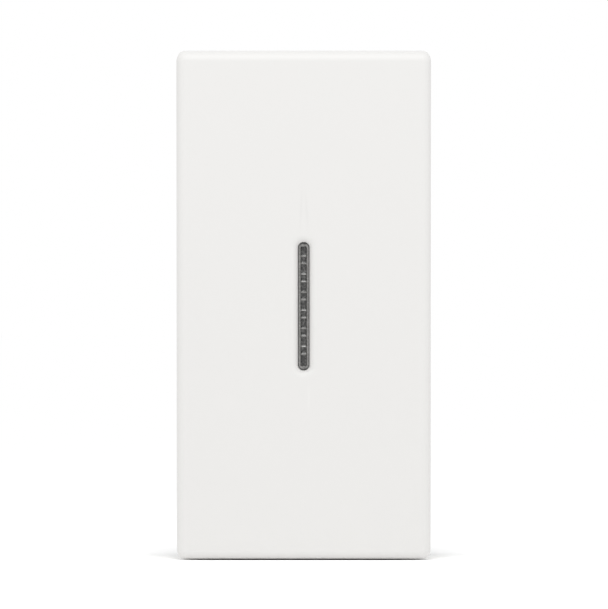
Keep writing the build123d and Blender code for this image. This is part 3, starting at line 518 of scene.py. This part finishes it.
def glass_epoxy_board():
    """Glass-cloth laminate under green solder resist: the cloth's weave shows faintly."""
    material, tree = new_material("glass_epoxy_board")
    place = add_node(tree, "ShaderNodeTexCoord").outputs["Object"]
    thread_mm = 0.5
    # Width of the texture's waves at a scale of 1
    wave_width = pi / 10
    threads = [
        add_node(
            tree, "ShaderNodeTexWave",
            {"Vector": place, "Scale": per_metre(thread_mm) * wave_width, "Distortion": 0.4},
            bands_direction=direction,
        )
        for direction in ("X", "Z")
    ]
    weave = add_node(
        tree, "ShaderNodeMath", {0: threads[0].outputs["Fac"], 1: threads[1].outputs["Fac"]},
        operation="MULTIPLY",
    )
    tint = add_node(
        tree, "ShaderNodeMix",
        {
            SHARE: weave.outputs["Value"],
            FIRST: opaque(linear("#4F8A60")),
            SECOND: opaque(linear("#68A078")),
        },
        data_type="RGBA",
    )
    shader = add_node(
        tree, "ShaderNodeBsdfPrincipled",
        {"Base Color": tint.outputs[RESULT], "Roughness": 0.35, "IOR": 1.55},
    )
    add_node(tree, "ShaderNodeOutputMaterial", {"Surface": shader.outputs["BSDF"]})
    return material


def banded(name, bottom, top, body_hex, roughness, bands):
    """Lacquered body with tinned end caps and painted rings, set by the height along the part."""
    material, tree = new_material(name)
    place = add_node(tree, "ShaderNodeTexCoord").outputs["Object"]
    height = add_node(tree, "ShaderNodeSeparateXYZ", {"Vector": place}).outputs["Z"]
    share = add_node(
        tree, "ShaderNodeMapRange", {"Value": height, "From Min": bottom, "From Max": top}
    )
    ramp = add_node(tree, "ShaderNodeValToRGB", {"Fac": share.outputs["Result"]})
    ramp.color_ramp.interpolation = "CONSTANT"
    # Shares of the length that a cap and a ring take up
    cap = 0.16
    ring = 0.07
    tin = "#CFCFCC"
    stops = [(0.0, tin), (cap, body_hex)]
    for start, band_hex in bands:
        stops += [(start, band_hex), (start + ring, body_hex)]
    stops.append((1 - cap, tin))
    elements = ramp.color_ramp.elements
    elements[1].position = stops[1][0]
    for position, _ in stops[2:]:
        elements.new(position)
    for element, (_, stop_hex) in zip(elements, stops):
        element.color = opaque(linear(stop_hex))
    shader = add_node(
        tree, "ShaderNodeBsdfPrincipled",
        {"Base Color": ramp.outputs["Color"], "Roughness": roughness, "IOR": 1.5},
    )
    add_node(tree, "ShaderNodeOutputMaterial", {"Surface": shader.outputs["BSDF"]})
    return material


def finish(material, *names):
    """Gives CAD nodes their material."""
    for name in names:
        nodes[name].material_slots[0].material = material


class SWITCH_OT_rocker(bpy.types.Operator):
    """Finish the rocker as matt white polycarbonate"""

    bl_idname = "switch.rocker"
    bl_label = "Finish rocker"

    def execute(self, context):
        # White polycarbonate from a finely eroded mould: dense, even and nearly without gloss,
        # with faint lines beyond the slot's ends: painted shade in the two above it, a painted highlight
        # below
        level, _, half_length = lens_window()
        above, below = rocker_points(0, np.array([half_length, -half_length]), level)
        width = 0.4 * MM
        # Each line: the slot's end, its start and tip in mm from there, and a shade factor, below 1 for
        # painted shade and above 1 for a painted highlight
        shade_and_highlight_lines = [
            (end + np.array(start_mm) * MM, end + np.array(tip_mm) * MM, width, factor)
            for end, start_mm, tip_mm, factor in (
                (above, (-0.38, 0, 0.3), (-0.1, 0, 5.6), 0.97),
                (above, (0.42, 0, 0.3), (0.1, 0, 5.2), 0.97),
                (below, (0.45, 0, -0.6), (0.45, 0, -4.3), 1.025),
            )
        ]
        material = moulded(
            "white_polycarbonate_rocker", context.scene.switch_finish.rocker, roughness=0.55, ior=1.58,
            flow_mm=6, flow=0.004, grain_mm=0.3, grain=0.05, shade_and_highlight_lines=shade_and_highlight_lines,
        )
        finish(material, "rocker")
        return {"FINISHED"}


class SWITCH_OT_lens(bpy.types.Operator):
    """Build the smoked light pipe with the rim, trough and ribs that show in its window"""

    bl_idname = "switch.lens"
    bl_label = "Build lens"

    def execute(self, context):
        settings = context.scene.switch_lens
        piece = self.build(settings)
        piece.data.materials.append(smoked_polycarbonate(settings))
        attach(piece, "rocker_body")
        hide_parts("indicator_lens")
        return {"FINISHED"}

    @staticmethod
    def build(settings):
        """Pill-shaped rings, one for each point of the section, from the middle of the back over
        the flange and the neck to the middle of the window. A ring's points are its spine, a line
        along the pill, plus the ring's radius times the outward direction. In the window the
        points also rise or sink by the relief of the rim, the trough and the ribs' webs."""
        places = rocker_places(node_points("indicator_lens"))
        rib_back, flange_back, flange_front, window = np.unique(places[:, 2].round(6))
        _, window_radius, half_length = lens_window()
        spine = half_length - window_radius
        flange_radius = places[:, 0].max()

        # One half of the ring, from the bottom to the top along the right-hand side
        step = 0.035 * MM
        bend_points = 16
        bend = (np.arange(bend_points) + 0.5) * pi / 2 / bend_points
        straight = np.linspace(-spine, spine, int(2 * spine / step))
        spine_half = np.concatenate([np.full(bend.size, -spine), straight, np.full(bend.size, spine)])
        angle_half = np.concatenate([bend - pi / 2, np.zeros(straight.size), bend])
        ring_spine = np.concatenate([spine_half, spine_half[::-1]])
        ring_across = np.concatenate([np.cos(angle_half), -np.cos(angle_half[::-1])])
        ring_up = np.concatenate([np.sin(angle_half), np.sin(angle_half[::-1])])

        # Section from the back's middle to the window's middle: radius and level of each ring
        core = 0.03 * MM
        ring_count = 27
        window_rings = np.linspace(window_radius, core, ring_count)
        radius = np.concatenate([
            [core, flange_radius, flange_radius, window_radius],
            window_rings,
        ])
        level = np.concatenate([
            [flange_back, flange_back, flange_front, flange_front],
            np.full(ring_count, window),
        ])
        across = radius[:, None] * ring_across
        up = ring_spine + radius[:, None] * ring_up

        # Relief of the window, by the distance from its edge and the height along it. The rim
        # follows the edge, and lies further in at the two ends
        inset = (window_radius - radius)[:, None]
        setback = settings.end_setback * ring_up**2
        rim_middle = setback + settings.rim_width / 2
        rim = hump(inset - rim_middle, settings.rim_width)
        inside = ease(rim_middle, rim_middle + settings.rim_width / 2, inset)
        rib_middle = (np.arange(settings.rib_count) - (settings.rib_count - 1) / 2) * settings.rib_pitch
        seen_middle = rib_middle + settings.rib_rise
        half_rib = settings.rib_width / 2
        rib_edges = np.concatenate([seen_middle - half_rib, seen_middle + half_rib])
        web = hump(up[..., None] - rib_edges, settings.web_width).max(axis=-1)
        web_rise = settings.trough_depth - settings.web_drop
        relief = settings.rim_height * rim + inside * (web_rise * web - settings.trough_depth)
        in_front = (np.arange(radius.size) >= radius.size - ring_count)[:, None]
        out = level[:, None] + np.where(in_front, relief, 0)

        # The ribs on the back, as wide as the flange
        on_rib = (np.abs(up[..., None] - rib_middle) < half_rib).any(axis=-1)
        out[on_rib & (level == flange_back)[:, None]] = rib_back

        points = rocker_points(across, up, out)
        rings, count = across.shape
        back = ladder_faces(count)[:, ::-1]
        front = ladder_faces(count) + (rings - 1) * count
        faces = [tube_faces(rings, count), back, front]
        piece = add_piece("light_pipe", points, faces, crease_degrees=40)

        # Painted light in the plastic, how pale it is drawn: below zero on the body, where its painted
        # glints are then fainter
        body_glow = -0.2
        lit_rim_band = ease(setback - settings.rim_width / 3, setback, inset) * (1 - inside)
        window_glow = np.maximum(settings.rim_glow * lit_rim_band, settings.web_glow * inside * web)
        painted_edge_light = np.where(in_front, window_glow, body_glow)
        attribute = piece.data.attributes.new("painted_edge_light", "FLOAT", "POINT")
        attribute.data.foreach_set("value", np.broadcast_to(painted_edge_light, out.shape).ravel())
        return piece


class SWITCH_OT_frame(bpy.types.Operator):
    """Finish the module frame as white polycarbonate"""

    bl_idname = "switch.module_frame"
    bl_label = "Finish frame"

    def execute(self, context):
        # White polycarbonate, a shade warmer than the rocker, with a coarser grain
        material = moulded(
            "white_polycarbonate_frame", context.scene.switch_finish.module_frame,
            roughness=0.45, ior=1.58, flow_mm=5, flow=0.012, grain_mm=0.35, grain=0.1,
        )
        finish(material, "module_frame")
        return {"FINISHED"}


class SWITCH_OT_base(bpy.types.Operator):
    """Finish the base housing as light grey polyamide"""

    bl_idname = "switch.base"
    bl_label = "Finish base"

    def execute(self, context):
        # Glass-filled polyamide: matt, with cloudy flow marks where the fibres turn
        material = moulded(
            "grey_polyamide", context.scene.switch_finish.base,
            roughness=0.5, ior=1.53, flow_mm=4, flow=0.03, grain_mm=0.4, grain=0.2,
        )
        finish(material, "base_housing")
        return {"FINISHED"}


class SWITCH_OT_buttons(bpy.types.Operator):
    """Finish the release buttons as dark grey polyamide"""

    bl_idname = "switch.buttons"
    bl_label = "Finish release buttons"

    def execute(self, context):
        # Unfilled polyamide: a little glossier than the base around it
        material = moulded(
            "button_polyamide", context.scene.switch_finish.button,
            roughness=0.4, ior=1.53, flow_mm=2, flow=0.03, grain_mm=0.3, grain=0.1,
        )
        finish(material, "release_button_upper", "release_button_common", "release_button_lower")
        return {"FINISHED"}


class SWITCH_OT_plunger(bpy.types.Operator):
    """Finish the plunger as natural acetal"""

    bl_idname = "switch.plunger"
    bl_label = "Finish plunger"

    def execute(self, context):
        # Acetal: milky white, smooth and slippery, with a soft gloss
        material = moulded(
            "acetal", context.scene.switch_finish.plunger,
            roughness=0.3, ior=1.48, flow_mm=1.5, flow=0.02, grain_mm=0.2, grain=0.03,
        )
        finish(material, "plunger")
        return {"FINISHED"}


class SWITCH_OT_plunger_spring(bpy.types.Operator):
    """Build the plunger's coil spring"""

    bl_idname = "switch.plunger_spring"
    bl_label = "Build plunger spring"

    def execute(self, context):
        settings = context.scene.switch_springs
        places = rocker_places(node_points("plunger_spring"))
        lowest, highest = places.min(axis=0), places.max(axis=0)
        piece = self.build(settings, lowest, highest)
        # Drawn spring steel: bright grey wire with fine drawing lines
        wire = rolled_metal(
            "spring_wire", "#CBCBCD", "#A9A9AD", roughness=0.28, stain_mm=1.5, line_mm=0.06
        )
        piece.data.materials.append(wire)
        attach(piece, "rocker_body")
        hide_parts("plunger_spring")
        seat = rocker_points(0, 0, highest[2])
        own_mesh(piece)
        return {"FINISHED"}

    @staticmethod
    def build(settings, lowest, highest):
        """A round wire carried along a helix. The helix rises evenly over its open coils, and by
        little more than the wire's thickness over the closed turns at its ends. Around the wire,
        points lie at the wire's radius times the cosine along the coil's radius and times the sine
        along the coil's axis."""
        points_per_turn = 40
        points_around = 16
        wire = settings.wire_radius
        middle = (lowest + highest) / 2
        coil_radius = (highest[0] - lowest[0]) / 2 - wire
        turns = settings.coils + 2 * settings.closed_turns
        turn = np.linspace(0, turns, int(turns * points_per_turn))[:, None]
        around = np.linspace(0, 2 * pi, points_around, endpoint=False)
        dead = settings.closed_turns
        climb = np.clip(turn - dead, 0, turns - 2 * dead) / (turns - 2 * dead)
        # A closed turn climbs by the wire's thickness and a fiftieth of it
        lead = 2 * wire * (1 + 1 / 50)
        flat_start = np.clip(turn, 0, dead) / dead
        flat_end = np.clip(turn - turns + dead, 0, dead) / dead
        height = highest[2] - lowest[2] - 2 * wire
        rise = (height - 2 * lead * dead) * climb + lead * dead * (flat_start + flat_end)
        reach = coil_radius + wire * np.cos(around)
        across = middle[0] + reach * np.cos(2 * pi * turn)
        up = middle[1] + reach * np.sin(2 * pi * turn)
        out = lowest[2] + wire + rise + wire * np.sin(around)
        points = rocker_points(across, up, out)
        ends = points[[0, -1]].mean(axis=1)
        rings, count = across.shape
        index = np.arange(count)
        ahead = np.roll(index, -1)
        last = (rings - 1) * count
        first_pole = np.full(count, rings * count)
        caps = np.concatenate([
            np.stack([ahead, index, first_pole], axis=-1),
            np.stack([last + index, last + ahead, first_pole + 1], axis=-1),
        ])
        points = np.concatenate([points.reshape(-1, 3), ends])
        return add_piece("plunger_coil", points, [tube_faces(rings, count), caps], crease_degrees=50)


class SWITCH_OT_terminal_springs(bpy.types.Operator):
    """Build the three bent terminal clips"""

    bl_idname = "switch.terminal_springs"
    bl_label = "Build terminal springs"

    def execute(self, context):
        settings = context.scene.switch_springs
        # Rolled spring steel: bright grey strip with rolling lines along its length
        material = rolled_metal(
            "spring_strip", "#C6C6C9", "#A2A2A8", roughness=0.3, stain_mm=2.0, line_mm=0.08
        )
        for name in ("upper", "common", "lower"):
            piece, fold, button = self.build(settings, name)
            piece.data.materials.append(material)
            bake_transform(piece)
            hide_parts(f"terminal_spring_{name}")
        return {"FINISHED"}

    @staticmethod
    def build(settings, name):
        """A strip carried along a bent path: a leg on the cell's wall, a fold at the rear and two
        tongues slanting back up. Points lie half the strip's thickness either side of the path,
        along its normal. The cells of the grid between the tongues are left out."""
        low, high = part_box(f"terminal_spring_{name}")
        side = -1 if name == "lower" else 1
        half = settings.strip / 2
        wall = low.z if side == 1 else high.z
        leg = wall + side * half
        rear = high.y - half
        folded = leg + side * settings.fold
        corners = np.array([
            (low.y, leg),
            (rear, leg),
            (rear, folded),
            (rear - settings.tongue, folded + side * settings.tongue_rise),
        ])
        path = rounded(corners, settings.strip_bend)
        slit_start = leg + side * 2 * settings.fold
        share = (slit_start - path[-2, 1]) / (path[-1, 1] - path[-2, 1])
        path = np.insert(path, -1, path[-2] + share * (path[-1] - path[-2]), axis=0)
        along = np.gradient(path, axis=0)
        along /= np.linalg.norm(along, axis=1)[:, None]
        normal = np.stack([-along[:, 1], along[:, 0]], axis=-1) * side
        half_width = (high.x - low.x) / 2
        slit = settings.slit / 2
        x = np.array([-half_width, -slit, slit, half_width])
        layers = []
        for offset in (half, -half):
            layer = path + offset * normal
            layers.append(np.stack(np.broadcast_arrays(x, layer[:, :1], layer[:, 1:]), axis=-1))
        points = np.stack(layers)
        mask = np.ones((len(path) - 1, 3), bool)
        mask[-1, 1] = False
        faces = plate_faces(mask)[:, ::side]
        piece = add_piece(f"terminal_clip_{name}", points, [faces])
        fold = (0, rear, leg + side * half)
        button = (0, rear, folded)
        return piece, fold, button


class SWITCH_OT_contacts(bpy.types.Operator):
    """Finish the busbars and the see-saw as brass and the contact tips as silver alloy"""

    bl_idname = "switch.contacts"
    bl_label = "Finish contacts"

    def execute(self, context):
        # Stamped brass strip: warm yellow, with rolling lines and a little tarnish
        brass = rolled_metal(
            "brass", "#E3C98C", "#C9A766", roughness=0.3, stain_mm=3.0, line_mm=0.1
        )
        finish(brass, "contact_rocker", "common_busbar", "upper_busbar", "lower_busbar")
        # Silver alloy rivets: nearly white, with grey tarnish clouds
        silver = rolled_metal(
            "silver_alloy", "#EEEEEC", "#CFCFCD", roughness=0.25, stain_mm=0.8, line_mm=0.05
        )
        finish(silver, "moving_contact_tips", "fixed_contact_tips")
        return {"FINISHED"}


class SWITCH_OT_lamp(bpy.types.Operator):
    """Finish the indicator lamp's board, parts and pins"""

    bl_idname = "switch.lamp"
    bl_label = "Finish indicator lamp"

    def execute(self, context):
        # Tin-plated brass pins: soft grey with a frosty bloom
        pins = rolled_metal(
            "tinned_brass", "#DCDCDA", "#B9B9B6", roughness=0.4, stain_mm=0.6, line_mm=0.06
        )
        finish(pins, "lamp_pin_upper", "lamp_pin_lower")
        finish(glass_epoxy_board(), "lamp_board")
        # Cast epoxy with a little phosphor: creamy and glossy
        lamp = moulded(
            "lamp_epoxy", linear("#E8E5D2"),
            roughness=0.15, ior=1.55, flow_mm=0.6, flow=0.05, grain_mm=0.1, grain=0.02,
        )
        finish(lamp, "indicator_led")
        # Lacquered ceramic: a satin pale blue body with four painted rings
        low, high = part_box("lamp_resistor")
        resistor = banded(
            "resistor_lacquer", low.z, high.z, "#6D97AC", roughness=0.35,
            bands=[(0.26, "#7A3B1E"), (0.40, "#1B1B1B"), (0.54, "#B5651D"), (0.70, "#C9A227")],
        )
        finish(resistor, "lamp_resistor")
        # Moulded epoxy: a black, rather glossy body with one pale ring
        low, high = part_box("lamp_diode")
        diode = banded(
            "diode_epoxy", low.z, high.z, "#262626", roughness=0.25, bands=[(0.68, "#DADAD6")]
        )
        finish(diode, "lamp_diode")
        return {"FINISHED"}


class SWITCH_OT_stage(bpy.types.Operator):
    """Set up the floor, the soft light and the camera"""

    bl_idname = "switch.stage"
    bl_label = "Set up studio"

    def execute(self, context):
        scene = context.scene
        settings = scene.switch_studio
        scene.view_settings.view_transform = "Standard"
        low, high = cad_box
        self.add_floor(settings, low.z - settings.floor_gap)
        self.add_world(scene, settings)
        self.add_softbox(settings)
        self.add_camera(scene, settings, low, high)
        return {"FINISHED"}

    @staticmethod
    def add_floor(settings, height):
        """A flat square, brighter only where it is seen, so that it is white but keeps the shadow."""
        reach = settings.floor_size / 2
        side = np.array([-reach, reach])
        x, y = np.meshgrid(side, side)
        points = np.stack([x, y, np.full_like(x, height)], axis=-1)
        floor = add_piece("floor", points, [np.array([[0, 1, 3, 2]])])
        material, tree = new_material("pale_floor")
        seen_tint = opaque([settings.floor_seen] * 3)
        tint = add_node(
            tree, "ShaderNodeMix",
            {SHARE: seen_directly(tree), FIRST: opaque(settings.floor), SECOND: seen_tint},
            data_type="RGBA",
        )
        matt = add_node(tree, "ShaderNodeBsdfDiffuse", {"Color": tint.outputs[RESULT]})
        add_node(tree, "ShaderNodeOutputMaterial", {"Surface": matt.outputs["BSDF"]})
        floor.data.materials.append(material)

    @staticmethod
    def add_world(scene, settings):
        """White all around: full white where it is seen, the ambient level where it lights."""
        world = bpy.data.worlds.new("white_studio")
        world.use_nodes = True
        tree = world.node_tree
        tree.nodes.clear()
        white = opaque((1, 1, 1))
        lighting = add_node(
            tree, "ShaderNodeBackground", {"Color": white, "Strength": settings.ambient}
        )
        backdrop = add_node(tree, "ShaderNodeBackground", {"Color": white, "Strength": 1.0})
        mixed = add_node(
            tree, "ShaderNodeMixShader",
            {0: seen_directly(tree), 1: lighting.outputs["Background"], 2: backdrop.outputs["Background"]},
        )
        add_node(tree, "ShaderNodeOutputWorld", {"Surface": mixed.outputs["Shader"]})
        scene.world = world

    @staticmethod
    def add_softbox(settings):
        """An upright strip of soft light above and in front, aimed at the object."""
        light = bpy.data.lights.new("softbox", "AREA")
        light.shape = "RECTANGLE"
        light.size = settings.key_width
        light.size_y = settings.key_height
        light.energy = settings.key_power
        softbox = bpy.data.objects.new("softbox", light)
        softbox.location = settings.key_place
        softbox.visible_camera = False
        softbox.rotation_euler = (-softbox.location).to_track_quat("-Z", "Y").to_euler()
        bpy.context.scene.collection.objects.link(softbox)

    @staticmethod
    def add_camera(scene, settings, low, high):
        """A long lens straight in front. Its focal length is the sensor's long side times the distance
        over the picture's real height, and it stands off centre by the picture's own offset."""
        data = bpy.data.cameras.new("camera")
        camera = bpy.data.objects.new("camera", data)
        scale = settings.pixels_per_mm / MM
        data.lens = data.sensor_width * settings.camera_distance / (max(IMAGE_WIDTH, IMAGE_HEIGHT) / scale)
        data.clip_end = 2 * settings.floor_size
        camera.location = (
            (low.x + high.x) / 2 + (IMAGE_WIDTH / 2 - settings.picture_x) / scale,
            low.y - settings.camera_distance,
            (low.z + high.z) / 2 - (IMAGE_HEIGHT / 2 - settings.picture_y) / scale,
        )
        camera.rotation_euler = (radians(90), 0, 0)
        scene.collection.objects.link(camera)
        scene.camera = camera


SETTINGS = {
    "switch_lens": LensSettings,
    "switch_springs": SpringSettings,
    "switch_finish": FinishSettings,
    "switch_studio": StudioSettings,
}

OPERATORS = (
    SWITCH_OT_rocker,
    SWITCH_OT_lens,
    SWITCH_OT_frame,
    SWITCH_OT_base,
    SWITCH_OT_buttons,
    SWITCH_OT_plunger,
    SWITCH_OT_plunger_spring,
    SWITCH_OT_terminal_springs,
    SWITCH_OT_contacts,
    SWITCH_OT_lamp,
    SWITCH_OT_stage,
)


class SWITCH_PT_panel(bpy.types.Panel):
    """Lists the switch's settings and the steps that build it."""

    bl_idname = "SWITCH_PT_panel"
    bl_label = "Light switch"
    bl_space_type = "VIEW_3D"
    bl_region_type = "UI"
    bl_category = "Light switch"

    def draw(self, context):
        for group in SETTINGS:
            box = self.layout.box()
            settings = getattr(context.scene, group)
            for field in settings.__annotations__:
                box.prop(settings, field)
        for operator in OPERATORS:
            self.layout.operator(operator.bl_idname)


def register():
    """Adds the settings, the operators and the panel to Blender."""
    for name, settings in SETTINGS.items():
        bpy.utils.register_class(settings)
        setattr(bpy.types.Scene, name, PointerProperty(type=settings))
    for cls in (*OPERATORS, SWITCH_PT_panel):
        bpy.utils.register_class(cls)


def unregister():
    """Takes the panel, the operators and the settings out again."""
    for cls in reversed((*OPERATORS, SWITCH_PT_panel)):
        bpy.utils.unregister_class(cls)
    for name, settings in reversed(SETTINGS.items()):
        delattr(bpy.types.Scene, name)
        bpy.utils.unregister_class(settings)


def main():
    """Builds the switch piece by piece."""
    register()
    bpy.ops.switch.rocker()
    bpy.ops.switch.lens()
    bpy.ops.switch.module_frame()
    bpy.ops.switch.base()
    bpy.ops.switch.buttons()
    bpy.ops.switch.plunger()
    bpy.ops.switch.plunger_spring()
    bpy.ops.switch.terminal_springs()
    bpy.ops.switch.contacts()
    bpy.ops.switch.lamp()
    bpy.ops.switch.stage()


if __name__ == "__main__":
    main()
